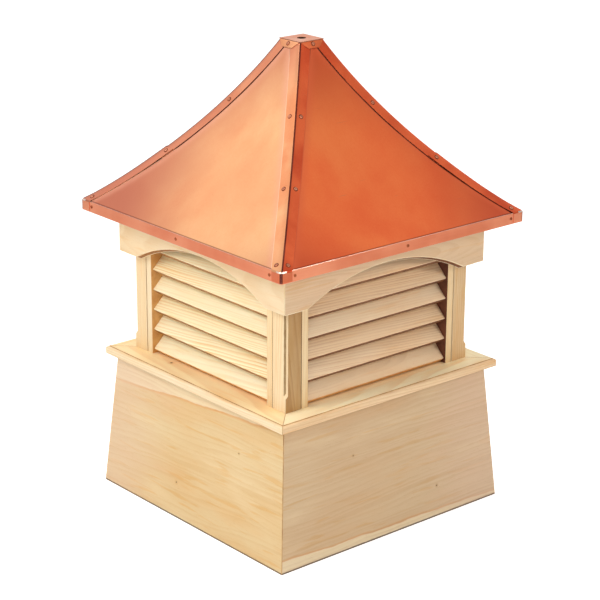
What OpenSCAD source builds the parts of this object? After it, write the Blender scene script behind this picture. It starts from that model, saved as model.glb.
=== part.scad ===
// Louvred roof cupola in three stages: a tapered board skirt, a square louvred
// body under arched valance boards, and a concave copper roof with hip caps.
// Millimetres. The origin is at the middle of the foot, with Z up, and the
// front faces -Y. The foot is open and stands level.

/* [Skirt] */
// Width over the foot of the skirt
base_w = 660; // [560:1:900]
// Width over the top of the skirt, under the sill
skirt_top_w = 605; // [560:1:900]
// Height of the skirt, from the foot to the underside of the sill
skirt_h = 324.5; // [150:0.5:600]
// Thickness of the skirt boards, square to their face
skirt_t = 19; // [12:0.5:30]

/* [Sill] */
// Overhang of the sill past the top of the skirt
sill_over = 20.5; // [8:0.5:40]
// Thickness of the sill boards
sill_t = 19; // [14:0.5:30]
// Radius of the rounded nosing
nose_r = 5; // [2:0.5:9]
// Height of the small step above the nosing
nose_step = 1.5; // [0.5:0.5:3]
// Width of the small ledge at the foot of that step
nose_ledge = 1; // [0.5:0.5:3]
// How far the sill reaches in past the posts
sill_lap = 5; // [0:1:30]

/* [Body] */
// Width over the corner posts
body_w = 544; // [460:1:800]
// Side of the square corner posts
post_w = 44; // [30:1:70]
// Height of the louvred stage, from the sill to the foot of the drip edge
body_h = 331; // [250:1:500]
// Side of the square rebate cut along each post's outer corner
rebate = 6.5; // [3:0.5:12]
// Height of the rebate's pointed stop above the sill
rebate_stop = 33; // [10:1:80]

/* [Louvres] */
// Width of the stile beside each post
stile_w = 20; // [12:1:40]
// How far the stile's face lies behind the post's face
stile_back = 1; // [0.5:0.5:5]
// Number of blades on each side
blade_count = 6; // [3:1:6]
// Height from one blade to the next
blade_pitch = 48.3; // [44:0.1:49]
// Thickness of a blade
blade_t = 16; // [12:0.5:18]
// How far the blade's front edge lies behind the post's face
blade_back = 5.5; // [2:0.5:12]
// Slope of the blades
blade_angle = 45; // [40:1:50]

/* [Valance] */
// How far the valance stands proud of the posts
valance_proud = 24; // [16:0.5:40]
// Thickness of the outer valance board
valance_t = 15; // [8:0.5:15]
// Height of the valance's ends above the sill
valance_z = 234.5; // [150:0.5:260]
// Width of the arch at its feet
arch_w = 462; // [300:1:520]
// Rise of the arch
arch_rise = 59.5; // [20:0.5:70]
// How far the inner arched board shows below the outer one
liner_drop = 7; // [2:0.5:15]

/* [Roof] */
// Width over the eave's drip edge
eave_w = 710; // [660:1:1000]
// Height of the drip edge
fascia_h = 25.5; // [20:0.5:40]
// Height of the roof, from the top of the drip edge to the top plate
roof_h = 383; // [250:1:600]
// Width of the flat top plate
crown_w = 70; // [60:1:120]
// Sag of the concave roof below a straight line from eave to crown
roof_sag = 25; // [5:1:30]
// Thickness of the sheet copper
sheet_t = 1.2; // [0.8:0.1:2]
// Width of each leg of a hip cap, measured level
hip_leg = 31; // [20:1:50]
// Width of the tab at the foot of each hip cap
tab_w = 34; // [20:1:60]
// Height of the flaps folded down from the top plate
flap_h = 16; // [10:0.5:30]
// Width of a flap at its lower edge
flap_w = 32; // [20:1:60]

/* [Timber inside the roof] */
// Thickness of the soffit boards
soffit_t = 19; // [12:0.5:25]
// Thickness of the hip rafters
rafter_t = 19; // [12:0.5:40]
// Depth of the hip rafters, square to the roof
rafter_d = 45; // [20:1:80]
// Side of the finial block
block_w = 50; // [40:1:60]
// Height of the finial block
block_h = 80; // [40:1:120]
// Diameter of the hole for a finial rod
rod_d = 20; // [8:0.5:30]

/* [Hidden] */
$fn = 96;

// Levels, from the foot up
sill_top = skirt_h + sill_t;
drip_z = sill_top + body_h;
eave_z = drip_z + fascia_h;
crown_z = eave_z + roof_h;
soffit_z = eave_z - sheet_t - soffit_t;

// Half widths, out from the axis
sill_out = skirt_top_w / 2 + sill_over;
post_out = body_w / 2;
post_in = post_out - post_w;
sill_in = post_in - sill_lap;
opening = post_in - stile_w;
valance_out = post_out + valance_proud;
liner_out = valance_out - valance_t;
eave_out = eave_w / 2;
drip_flange = 32;
drip_hem = 4;
far = eave_w;

// The skirt's boards lean in, so their level thickness is a little more
skirt_lean = (base_w - skirt_top_w) / 2 / skirt_h;
skirt_level_t = skirt_t * sqrt(1 + skirt_lean * skirt_lean);

// A blade rests on the sill by its lower front edge
blade_drop = blade_t * cos(blade_angle);
blade_in = blade_t * sin(blade_angle);
blade_out = post_out - blade_back;
blade_reach = blade_out - post_in;
blade_seat = 0.3;
blade_z0 = sill_top + blade_drop + blade_seat;

// The arch is part of one circle
arch_z = sill_top + valance_z;
arch_r = (arch_w * arch_w / 4 + arch_rise * arch_rise) / (2 * arch_rise);

// The roof's section is part of one circle whose middle lies outside the roof.
// It runs from the eave to the foot of the crown, where the flap laps it.
flap_lap = 1.15 * sheet_t;
roof_foot = [eave_out, eave_z];
roof_head = [crown_w / 2 - flap_lap, crown_z];
chord = roof_head - roof_foot;
chord_l = norm(chord);
roof_r = (chord_l * chord_l / 4 + roof_sag * roof_sag) / (2 * roof_sag);
chord_out = [chord[1], -chord[0]] / chord_l;
roof_c = (roof_foot + roof_head) / 2 + (roof_r - roof_sag) * chord_out;
ARC_FN = 720;

pine = "burlywood";
pale_pine = "wheat";
copper = "coral";

// Turns a section drawn as (distance out, height) into a length along the front
module front_run(length = 2 * far) {
    rotate([90, 0, -90])
        linear_extrude(length, center = true)
            children();
}

// Cuts a front length along both mitres, which lie on the diagonals
module mitred() {
    intersection() {
        children();
        linear_extrude(crown_z + 1)
            polygon([[0, 0], [-far, -far], [far, -far]]);
    }
}

// Places a front piece on one of the four sides: 0 front, 1 right, 2 back, 3 left
module side(k) {
    rotate([0, 0, 90 * k])
        children();
}

// Section of a layer of the roof: level u out from the covering, depth d
module roof_section(depth_from, depth_to, z_from, z_to) {
    intersection() {
        translate(roof_c)
            difference() {
                circle(roof_r + depth_to, $fn = ARC_FN);
                circle(roof_r + depth_from, $fn = ARC_FN);
            }
        translate([0, z_from])
            square([eave_out, z_to - z_from]);
    }
}

module skirt_board() {
    front_run()
        polygon([
            [base_w / 2, 0],
            [skirt_top_w / 2, skirt_h],
            [skirt_top_w / 2 - skirt_level_t, skirt_h],
            [base_w / 2 - skirt_level_t, 0]
        ]);
}

module sill_section() {
    round_z = sill_t - nose_step - nose_r;
    translate([sill_in, 0]) {
        square([sill_out - sill_in, round_z]);
        square([sill_out - nose_r - sill_in, sill_t - nose_step]);
        square([sill_out - nose_r - nose_ledge - sill_in, sill_t]);
    }
    translate([sill_out - nose_r, round_z])
        circle(nose_r);
}

module sill_board() {
    front_run()
        translate([0, skirt_h])
            sill_section();
}

// The corner at (-, -); the rebate's stop slopes down to a point on the corner
module corner_post() {
    difference() {
        translate([-post_out, -post_out, sill_top])
            cube([post_w, post_w, soffit_z - sill_top]);
        intersection() {
            translate([-post_out - 1, -post_out - 1, sill_top])
                cube([rebate + 1, rebate + 1, soffit_z - sill_top + 1]);
            translate([-post_out, -post_out, sill_top + rebate_stop])
                rotate([0, 0, 45])
                    rotate([0, -50, 0])
                        translate([-body_h, -body_h, 0])
                            cube([2 * body_h, 2 * body_h, 2 * body_h]);
        }
    }
}

// The two stiles of the front opening
module stile_pair() {
    depth = post_w - 2 * stile_back;
    for (x = [opening, -post_in])
        translate([x, -post_out + stile_back, sill_top])
            cube([stile_w, depth, soffit_z - sill_top]);
}

module blade_section() {
    rise = blade_reach * tan(blade_angle);
    polygon([
        [blade_out, 0],
        [post_in, rise],
        [post_in, rise - blade_t / cos(blade_angle)],
        [blade_out - blade_in, -blade_drop]
    ]);
}

module blade_set() {
    for (i = [0 : blade_count - 1])
        translate([0, 0, blade_z0 + i * blade_pitch])
            front_run(2 * opening)
                blade_section();
}

// A board across the head of the front with an arched lower edge
module arched_board(out, thick, drop) {
    difference() {
        translate([-far, -out, arch_z - drop])
            cube([2 * far, thick, soffit_z - arch_z + drop]);
        translate([0, -out - 1, arch_z - drop + arch_rise - arch_r])
            rotate([-90, 0, 0])
                cylinder(h = thick + 2, r = arch_r, $fn = ARC_FN);
    }
}

module soffit_board() {
    front_run()
        translate([post_in, soffit_z])
            square([eave_out - sheet_t - post_in, soffit_t]);
}

// Drip edge: a face, a flange under the roof sheet and a hem at the foot
module drip_edge() {
    front_run()
        translate([eave_out, drip_z]) {
            translate([-sheet_t, 0])
                square([sheet_t, fascia_h]);
            translate([-drip_flange, fascia_h - sheet_t])
                square([drip_flange, sheet_t]);
            translate([-drip_hem, 0])
                square([drip_hem, sheet_t]);
        }
}

module roof_sheet() {
    front_run()
        roof_section(sheet_t, 2 * sheet_t, eave_z, crown_z - sheet_t);
}

// A strip of the roof's layers along the hip at (-, -), level half width half_w
module hip_strip(half_w, depth_from, depth_to, z_to) {
    intersection() {
        union() {
            mitred()
                front_run()
                    roof_section(depth_from, depth_to, eave_z, z_to);
            side(3)
                mitred()
                    front_run()
                        roof_section(depth_from, depth_to, eave_z, z_to);
        }
        rotate([0, 0, 45])
            translate([-2 * far, -half_w, 0])
                cube([2 * far, 2 * half_w, 2 * crown_z]);
    }
}

// The foot of a hip cap is bent down over the drip edge in two tabs
module hip_tabs() {
    out = eave_out + sheet_t;
    tab_h = fascia_h - 2 * sheet_t;
    difference() {
        translate([-out, -out, eave_z - tab_h])
            cube([tab_w + sheet_t, tab_w + sheet_t, tab_h + sheet_t]);
        translate([-eave_out, -eave_out, eave_z - tab_h - 1])
            cube([far, far, tab_h + 1]);
        translate([-eave_out + 3 * sheet_t, -eave_out + 3 * sheet_t, eave_z - 1])
            cube([far, far, tab_h]);
    }
}

module hip_cap() {
    color(copper) {
        hip_strip(hip_leg / sqrt(2), 0, sheet_t, crown_z - sheet_t);
        hip_tabs();
    }
}

module rafter() {
    difference() {
        hip_strip(rafter_t / 2, 2 * sheet_t, 2 * sheet_t + rafter_d, crown_z - sheet_t);
        translate([-block_w / 2, -block_w / 2, crown_z - sheet_t - block_h])
            cube([block_w, block_w, block_h]);
    }
}

// One flap: the roof's outermost layer, narrowing towards its lower edge
module crown_flap() {
    intersection() {
        mitred()
            front_run()
                roof_section(-sheet_t, 0, crown_z - flap_h, crown_z - sheet_t);
        rotate([90, 0, 0])
            linear_extrude(far)
                polygon([
                    [-flap_w / 2, crown_z - flap_h],
                    [flap_w / 2, crown_z - flap_h],
                    [crown_w / 2, crown_z],
                    [-crown_w / 2, crown_z]
                ]);
    }
}

module crown_cap() {
    color(copper)
        difference() {
            union() {
                translate([-crown_w / 2, -crown_w / 2, crown_z - sheet_t])
                    cube([crown_w, crown_w, sheet_t]);
                for (k = [0 : 3])
                    side(k)
                        crown_flap();
            }
            translate([0, 0, crown_z - 2 * sheet_t])
                cylinder(h = 3 * sheet_t, d = rod_d);
        }
}

module finial_block() {
    color(pine)
        difference() {
            translate([-block_w / 2, -block_w / 2, crown_z - sheet_t - block_h])
                cube([block_w, block_w, block_h]);
            translate([0, 0, crown_z - sheet_t - block_h - 1])
                cylinder(h = block_h + 2, d = rod_d);
        }
}

module hip_rafters() {
    color(pine)
        for (k = [0 : 3])
            side(k)
                rafter();
}

module louvre_stiles() {
    color(pale_pine)
        for (k = [0 : 3])
            side(k)
                stile_pair();
}

module skirt(k) {
    color(pine)
        side(k)
            mitred()
                skirt_board();
}

module sill(k) {
    color(pale_pine)
        side(k)
            mitred()
                sill_board();
}

module post(k) {
    color(pale_pine)
        side(k)
            corner_post();
}

module louvres(k) {
    color(pine)
        side(k)
            blade_set();
}

module arch_liner(k) {
    color(pine)
        side(k)
            mitred()
                arched_board(liner_out, liner_out - post_out, liner_drop);
}

module valance(k) {
    color(pale_pine)
        side(k)
            mitred()
                arched_board(valance_out, valance_t, 0);
}

module soffit(k) {
    color(pine)
        side(k)
            mitred()
                soffit_board();
}

module eave_trim(k) {
    color(copper)
        side(k)
            mitred()
                drip_edge();
}

module roof_panel(k) {
    color(copper)
        side(k)
            mitred()
                roof_sheet();
}

skirt(0);  // skirt_front
skirt(1);  // skirt_right
skirt(2);  // skirt_back
skirt(3);  // skirt_left
sill(0);  // sill_front
sill(1);  // sill_right
sill(2);  // sill_back
sill(3);  // sill_left
post(0);  // post_front_left
post(1);  // post_front_right
post(2);  // post_back_right
post(3);  // post_back_left
louvre_stiles();
louvres(0);  // louvres_front
louvres(1);  // louvres_right
louvres(2);  // louvres_back
louvres(3);  // louvres_left
arch_liner(0);  // arch_liner_front
arch_liner(1);  // arch_liner_right
arch_liner(2);  // arch_liner_back
arch_liner(3);  // arch_liner_left
valance(0);  // valance_front
valance(1);  // valance_right
valance(2);  // valance_back
valance(3);  // valance_left
soffit(0);  // soffit_front
soffit(1);  // soffit_right
soffit(2);  // soffit_back
soffit(3);  // soffit_left
hip_rafters();
finial_block();
eave_trim(0);  // eave_trim_front
eave_trim(1);  // eave_trim_right
eave_trim(2);  // eave_trim_back
eave_trim(3);  // eave_trim_left
roof_panel(0);  // roof_panel_front
roof_panel(1);  // roof_panel_right
roof_panel(2);  // roof_panel_back
roof_panel(3);  // roof_panel_left
side(0) hip_cap();  // hip_cap_front_left
side(1) hip_cap();  // hip_cap_front_right
side(2) hip_cap();  // hip_cap_back_right
side(3) hip_cap();  // hip_cap_back_left
crown_cap();
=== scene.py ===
"""Looks of the roof cupola: a pine base and louvred body under a sheet copper roof."""

import math
import random

import bmesh
import bpy
from mathutils import Matrix, Vector


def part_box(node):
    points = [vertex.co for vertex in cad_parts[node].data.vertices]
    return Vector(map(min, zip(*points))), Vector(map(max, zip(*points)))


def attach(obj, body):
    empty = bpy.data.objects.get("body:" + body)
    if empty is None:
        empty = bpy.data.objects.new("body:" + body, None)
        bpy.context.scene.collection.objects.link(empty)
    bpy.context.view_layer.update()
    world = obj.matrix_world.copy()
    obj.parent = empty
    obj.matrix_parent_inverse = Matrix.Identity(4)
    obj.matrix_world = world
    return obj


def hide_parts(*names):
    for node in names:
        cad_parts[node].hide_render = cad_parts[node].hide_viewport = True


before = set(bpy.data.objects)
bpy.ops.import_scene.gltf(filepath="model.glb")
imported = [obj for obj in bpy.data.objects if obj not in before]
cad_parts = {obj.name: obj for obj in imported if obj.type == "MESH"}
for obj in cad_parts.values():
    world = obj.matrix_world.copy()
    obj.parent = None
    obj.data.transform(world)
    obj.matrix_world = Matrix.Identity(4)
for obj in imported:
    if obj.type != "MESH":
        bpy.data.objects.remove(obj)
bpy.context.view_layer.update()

SIDES = ("front", "right", "back", "left")
CORNERS = ("front_left", "front_right", "back_right", "back_left")

# Levels and half widths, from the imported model
SILL_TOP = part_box("sill_front")[1].z
EAVE_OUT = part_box("eave_trim_front")[1].x
EAVE_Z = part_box("eave_trim_front")[1].z
DRIP_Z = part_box("eave_trim_front")[0].z
CROWN_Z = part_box("crown_cap")[1].z
SHEET = 0.0012

# The roof's section is part of one circle
ROOF_R = 1.26237
ROOF_C_OUT = 1.142185
ROOF_C_Z = 1.686873

HIP_LEG = 0.031
REBATE = 0.0065
OPEN_JOINT = 0.0024
LAP_Z = 0.829
SCREW_LEVELS = (0.7088, 0.8223, 0.9435)
SCREW_IN = 0.0172


# ---------------------------------------------------------------- workbench

def take_up(*pieces):
    """Makes these the only selected objects, the last one active."""
    if bpy.context.object and bpy.context.object.mode != "OBJECT":
        bpy.ops.object.mode_set(mode="OBJECT")
    bpy.ops.object.select_all(action="DESELECT")
    for piece in pieces:
        piece.select_set(True)
        bpy.context.view_layer.objects.active = piece
    return pieces[-1]


def newly_added(name):
    piece = bpy.context.object
    piece.name = name
    piece.data.name = name
    return piece


def pick(piece, kind, chosen):
    """Selects the vertices, edges or faces that the test chooses, in edit mode."""
    if piece.mode != "EDIT":
        bpy.ops.object.mode_set(mode="EDIT")
    bpy.ops.mesh.select_mode(type="VERT")
    bpy.ops.mesh.select_all(action="DESELECT")
    bpy.ops.mesh.select_mode(type=kind)
    mesh = bmesh.from_edit_mesh(piece.data)
    found = 0
    for part in {"VERT": mesh.verts, "EDGE": mesh.edges, "FACE": mesh.faces}[kind]:
        if chosen(part):
            part.select_set(True)
            found += 1
    mesh.select_flush_mode()
    bmesh.update_edit_mesh(piece.data)
    return found


def put_down():
    bpy.ops.object.mode_set(mode="OBJECT")


def finish_with(piece, kind, **values):
    """Adds a modifier and applies it."""
    take_up(piece)
    modifier = piece.modifiers.new(kind.lower(), kind)
    for key, value in values.items():
        setattr(modifier, key, value)
    bpy.ops.object.modifier_apply(modifier=modifier.name)


def smooth(piece, degrees=32):
    take_up(piece)
    bpy.ops.object.shade_smooth_by_angle(angle=math.radians(degrees))


def place_applied(piece):
    take_up(piece)
    bpy.ops.object.transform_apply(location=True, rotation=True, scale=True)


def copy_of(piece, name):
    twin = bpy.data.objects.new(name, piece.data.copy())
    twin.data.name = name
    bpy.context.scene.collection.objects.link(twin)
    return twin


def turned(piece, name, quarters):
    """A copy with its own mesh, turned about the cupola's axis."""
    twin = copy_of(piece, name)
    twin.rotation_euler = (0, 0, quarters * math.pi / 2)
    place_applied(twin)
    return twin


def joined(pieces, name):
    whole = take_up(*pieces)
    if len(pieces) > 1:
        bpy.ops.object.join()
    whole.name = name
    whole.data.name = name
    return whole


def dressed(piece, *materials):
    """Gives the piece its finishes, leaving each face on the slot that it has."""
    slots = piece.data.materials
    while len(slots) < len(materials):
        slots.append(None)
    while len(slots) > len(materials):
        slots.pop(index=len(slots) - 1)
    for count, material in enumerate(materials):
        slots[count] = material


def fitted(piece, slot, *nodes):
    """Rides on the cupola and stands for the CAD nodes, where there are any."""
    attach(piece, "root")
    if nodes:
        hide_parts(*nodes)


# ---------------------------------------------------------------- node helpers

def put(tree, socket, value):
    if isinstance(value, bpy.types.NodeSocket):
        tree.links.new(value, socket)
    else:
        socket.default_value = value


def maths(tree, operation, *values, clamp=False):
    node = tree.nodes.new("ShaderNodeMath")
    node.operation = operation
    node.use_clamp = clamp
    for socket, value in zip(node.inputs, values):
        put(tree, socket, value)
    return node.outputs[0]


def vector_maths(tree, operation, *values):
    node = tree.nodes.new("ShaderNodeVectorMath")
    node.operation = operation
    for socket, value in zip(node.inputs, values):
        put(tree, socket, value)
    return node.outputs["Value" if operation in ("LENGTH", "DISTANCE", "DOT_PRODUCT") else "Vector"]


def eased(tree, value, low, high, to_low=0.0, to_high=1.0):
    """A smooth step of the value from low to high."""
    node = tree.nodes.new("ShaderNodeMapRange")
    node.interpolation_type = "SMOOTHSTEP"
    for name, number in (("Value", value), ("From Min", low), ("From Max", high),
                         ("To Min", to_low), ("To Max", to_high)):
        put(tree, node.inputs[name], number)
    return node.outputs[0]


def clouds(tree, vector, scale=1.0, detail=2.0, roughness=0.5, distortion=0.0):
    node = tree.nodes.new("ShaderNodeTexNoise")
    for name, value in (("Vector", vector), ("Scale", scale), ("Detail", detail),
                        ("Roughness", roughness), ("Distortion", distortion)):
        put(tree, node.inputs[name], value)
    return node.outputs["Fac"]


def mixed(tree, factor, first, second, how="MIX"):
    node = tree.nodes.new("ShaderNodeMix")
    node.data_type = "RGBA"
    node.blend_type = how
    put(tree, node.inputs[0], factor)
    put(tree, node.inputs[6], first)
    put(tree, node.inputs[7], second)
    return node.outputs[2]


def split(tree, vector):
    node = tree.nodes.new("ShaderNodeSeparateXYZ")
    put(tree, node.inputs[0], vector)
    return node.outputs


def combined(tree, x, y, z):
    node = tree.nodes.new("ShaderNodeCombineXYZ")
    for socket, value in zip(node.inputs, (x, y, z)):
        put(tree, socket, value)
    return node.outputs[0]


def on_object(tree):
    return tree.nodes.new("ShaderNodeTexCoord").outputs["Object"]


def mapped(tree, vector, location=(0, 0, 0), rotation=(0, 0, 0), scale=(1, 1, 1)):
    node = tree.nodes.new("ShaderNodeMapping")
    put(tree, node.inputs["Vector"], vector)
    node.inputs["Location"].default_value = location
    node.inputs["Rotation"].default_value = rotation
    node.inputs["Scale"].default_value = scale
    return node.outputs[0]


def new_group(name, inputs, outputs):
    group = bpy.data.node_groups.new(name, "ShaderNodeTree")
    for label, kind, value in inputs:
        socket = group.interface.new_socket(name=label, in_out="INPUT", socket_type=kind)
        if value is not None:
            socket.default_value = value
    for label, kind in outputs:
        group.interface.new_socket(name=label, in_out="OUTPUT", socket_type=kind)
    given = group.nodes.new("NodeGroupInput").outputs
    result = group.nodes.new("NodeGroupOutput").inputs
    return group, given, result


def placed(tree, group, **values):
    """A node group in a material, with its own values."""
    node = tree.nodes.new("ShaderNodeGroup")
    node.node_tree = group
    for label, value in values.items():
        put(tree, node.inputs[label.replace("_", " ")], value)
    return node.outputs


def new_material(name):
    material = bpy.data.materials.new(name)
    material.use_nodes = True
    tree = material.node_tree
    tree.nodes.clear()
    shader = tree.nodes.new("ShaderNodeBsdfPrincipled")
    output = tree.nodes.new("ShaderNodeOutputMaterial")
    tree.links.new(shader.outputs["BSDF"], output.inputs["Surface"])
    return material, tree, shader


def bumped(tree, shader, height, distance, strength=1.0):
    node = tree.nodes.new("ShaderNodeBump")
    node.inputs["Strength"].default_value = strength
    node.inputs["Distance"].default_value = distance
    put(tree, node.inputs["Height"], height)
    put(tree, shader.inputs["Normal"], node.outputs["Normal"])


# ---------------------------------------------------------------- shared effects

def make_pine_grain():
    """Growth rings, streaks and fibre of a sawn board that runs along X."""
    group, given, result = new_group(
        "pine grain",
        (("Vector", "NodeSocketVector", None), ("Ring width", "NodeSocketFloat", 0.006),
         ("Pith", "NodeSocketFloat", 0.03), ("Tilt", "NodeSocketFloat", 0.05),
         ("Wave", "NodeSocketFloat", 0.010)),
        (("Rings", "NodeSocketFloat"), ("Streaks", "NodeSocketFloat"),
         ("Fibre", "NodeSocketFloat"), ("Patches", "NodeSocketFloat")))
    vector = given["Vector"]
    x, y, z = split(group, vector)
    drift = vector_maths(group, "MULTIPLY", vector, (2.2, 9.0, 9.0))
    sway = maths(group, "SUBTRACT", clouds(group, drift, 1.0, 2.0), 0.5)
    shifted = vector_maths(group, "ADD", drift, (7.3, 2.9, 5.1))
    swell = maths(group, "SUBTRACT", clouds(group, shifted, 1.0, 2.0), 0.5)
    across = maths(group, "MULTIPLY_ADD", sway, given["Wave"], y)
    depth = maths(group, "MULTIPLY_ADD", x, given["Tilt"], maths(group, "ADD", z, given["Pith"]))
    depth = maths(group, "MULTIPLY_ADD", swell, given["Wave"], depth)
    radius = vector_maths(group, "LENGTH", combined(group, 0.0, across, depth))
    uneven = clouds(group, combined(group, maths(group, "MULTIPLY", radius, 70.0), 3.7, 0.0), 1.0, 1.0)
    count = maths(group, "ADD", maths(group, "DIVIDE", radius, given["Ring width"]),
                  maths(group, "MULTIPLY", uneven, 2.4))
    ring = maths(group, "FRACT", count)
    late = maths(group, "MULTIPLY", eased(group, ring, 0.25, 0.88), eased(group, ring, 0.9, 1.0, 1.0, 0.0))
    fading = clouds(group, vector_maths(group, "MULTIPLY", vector, (4.0, 22.0, 22.0)), 1.0, 2.0)
    put(group, result["Rings"], maths(group, "MULTIPLY", late, eased(group, fading, 0.3, 0.7, 0.35, 1.0)))
    long_streaks = clouds(group, vector_maths(group, "MULTIPLY", vector, (5.0, 150.0, 150.0)), 1.0, 3.0, 0.6)
    put(group, result["Streaks"], eased(group, long_streaks, 0.3, 0.72))
    put(group, result["Fibre"], clouds(group, vector_maths(group, "MULTIPLY", vector, (30.0, 900.0, 900.0)),
                                       1.0, 3.0, 0.6))
    put(group, result["Patches"], eased(group, clouds(
        group, vector_maths(group, "MULTIPLY", vector, (3.0, 7.0, 7.0)), 1.0, 2.0), 0.32, 0.68))
    return group


def make_pin_knot():
    """A small knot: a dark heart, with the wood browner round it."""
    group, given, result = new_group(
        "pin knot",
        (("Vector", "NodeSocketVector", None), ("Heart", "NodeSocketVector", None),
         ("Size", "NodeSocketFloat", 0.004)),
        (("Heart", "NodeSocketFloat"), ("Halo", "NodeSocketFloat")))
    away = maths(group, "DIVIDE", vector_maths(group, "DISTANCE", given["Vector"], given["Heart"]), given["Size"])
    ragged = maths(group, "MULTIPLY_ADD", clouds(group, given["Vector"], 500.0, 2.0), 0.6, away)
    put(group, result["Heart"], eased(group, ragged, 0.7, 1.2, 1.0, 0.0))
    put(group, result["Halo"], eased(group, away, 0.8, 3.2, 1.0, 0.0))
    return group


def make_copper_surface():
    """Rolled sheet: soft clouds, faint rolling streaks and handling scratches."""
    group, given, result = new_group(
        "copper surface",
        (("Vector", "NodeSocketVector", None), ("Cloud scale", "NodeSocketFloat", 5.0),
         ("Rolling", "NodeSocketVector", (260.0, 260.0, 5.0))),
        (("Clouds", "NodeSocketFloat"), ("Streaks", "NodeSocketFloat"), ("Bands", "NodeSocketFloat"),
         ("Scratches", "NodeSocketFloat")))
    vector = given["Vector"]
    soft = clouds(group, vector, given["Cloud scale"], 3.0, 0.45, 0.4)
    put(group, result["Clouds"], eased(group, soft, 0.3, 0.7))
    rolled = clouds(group, vector_maths(group, "MULTIPLY", vector, given["Rolling"]), 1.0, 2.0, 0.6)
    put(group, result["Streaks"], rolled)
    broad = clouds(group, vector_maths(group, "MULTIPLY", vector, (26.0, 26.0, 3.0)), 1.0, 2.0, 0.5)
    put(group, result["Bands"], eased(group, broad, 0.35, 0.65))
    marks = []
    for slant, stretch, offset in (((0.4, 0.2, 0.5), (420.0, 420.0, 16.0), 3.1),
                                   ((-0.7, 0.3, -0.4), (16.0, 380.0, 380.0), 8.7)):
        line = clouds(group, mapped(group, vector, (offset, offset, offset), slant, stretch), 1.0, 0.0)
        here = clouds(group, vector, 9.0 + offset, 1.0)
        marks.append(maths(group, "MULTIPLY", eased(group, line, 0.83, 0.87), eased(group, here, 0.5, 0.62)))
    put(group, result["Scratches"], maths(group, "MAXIMUM", *marks))
    return group


PINE_GRAIN = make_pine_grain()
PIN_KNOT = make_pin_knot()
COPPER_SURFACE = make_copper_surface()


# ---------------------------------------------------------------- finishes

# Which of X, Y, Z a board's length, width and thickness run along
LEVEL_FRONT = (0, 2, 1)
LEVEL_SIDE = (1, 2, 0)
FLAT_FRONT = (0, 1, 2)
FLAT_SIDE = (1, 0, 2)
UPRIGHT = (2, 0, 1)
UPRIGHT_SIDE = (2, 1, 0)

# The front and right sides take darker copies of the pine tones (the pink pine, skirt and blade and the tan valance),
# painted shade for the sides turned from the light.
YELLOW_PINE = ((0.92, 0.77, 0.54, 1), (0.72, 0.43, 0.17, 1), (0.88, 0.63, 0.32, 1))
SHADED_SIDE_PINE = ((0.91, 0.67, 0.42, 1), (0.58, 0.31, 0.13, 1), (0.80, 0.50, 0.24, 1))
SHADED_BROWN_PINE = ((0.52, 0.32, 0.135, 1), (0.34, 0.15, 0.05, 1), (0.50, 0.27, 0.09, 1))
TAN_SKIRT = ((0.77, 0.59, 0.33, 1), (0.62, 0.35, 0.13, 1), (0.73, 0.47, 0.20, 1))
SHADED_SIDE_SKIRT = ((0.69, 0.51, 0.315, 1), (0.52, 0.30, 0.14, 1), (0.64, 0.42, 0.235, 1))
SHADED_SIDE_VALANCE = ((0.76, 0.57, 0.36, 1), (0.56, 0.33, 0.15, 1), (0.78, 0.54, 0.37, 1))
CREAM_VALANCE = ((0.92, 0.74, 0.50, 1), (0.74, 0.45, 0.19, 1), (0.88, 0.62, 0.33, 1))
CREAM_BLADE = ((1.0, 0.93, 0.69, 1), (0.86, 0.53, 0.20, 1), (1.0, 0.83, 0.49, 1))
SHADED_SIDE_BLADE = ((0.97, 0.78, 0.55, 1), (0.60, 0.32, 0.15, 1), (0.86, 0.58, 0.33, 1))
SHADED_TAN_POST = ((0.78, 0.57, 0.34, 1), (0.58, 0.33, 0.13, 1), (0.74, 0.47, 0.22, 1))
# Sill tops are paler and warmer than the faces, painted light on a top lit from above; the front and right ones are
# paler still.
LIT_PALE_SILL_TOP = ((1.0, 0.92, 0.64, 1), (0.84, 0.53, 0.25, 1), (1.0, 0.78, 0.46, 1))
LIT_SILL_TOP_PINE = ((1.0, 0.83, 0.51, 1), (0.80, 0.47, 0.19, 1), (0.98, 0.70, 0.35, 1))
SKIRT_TONES = (SHADED_SIDE_SKIRT, SHADED_SIDE_SKIRT, TAN_SKIRT, TAN_SKIRT)


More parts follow.
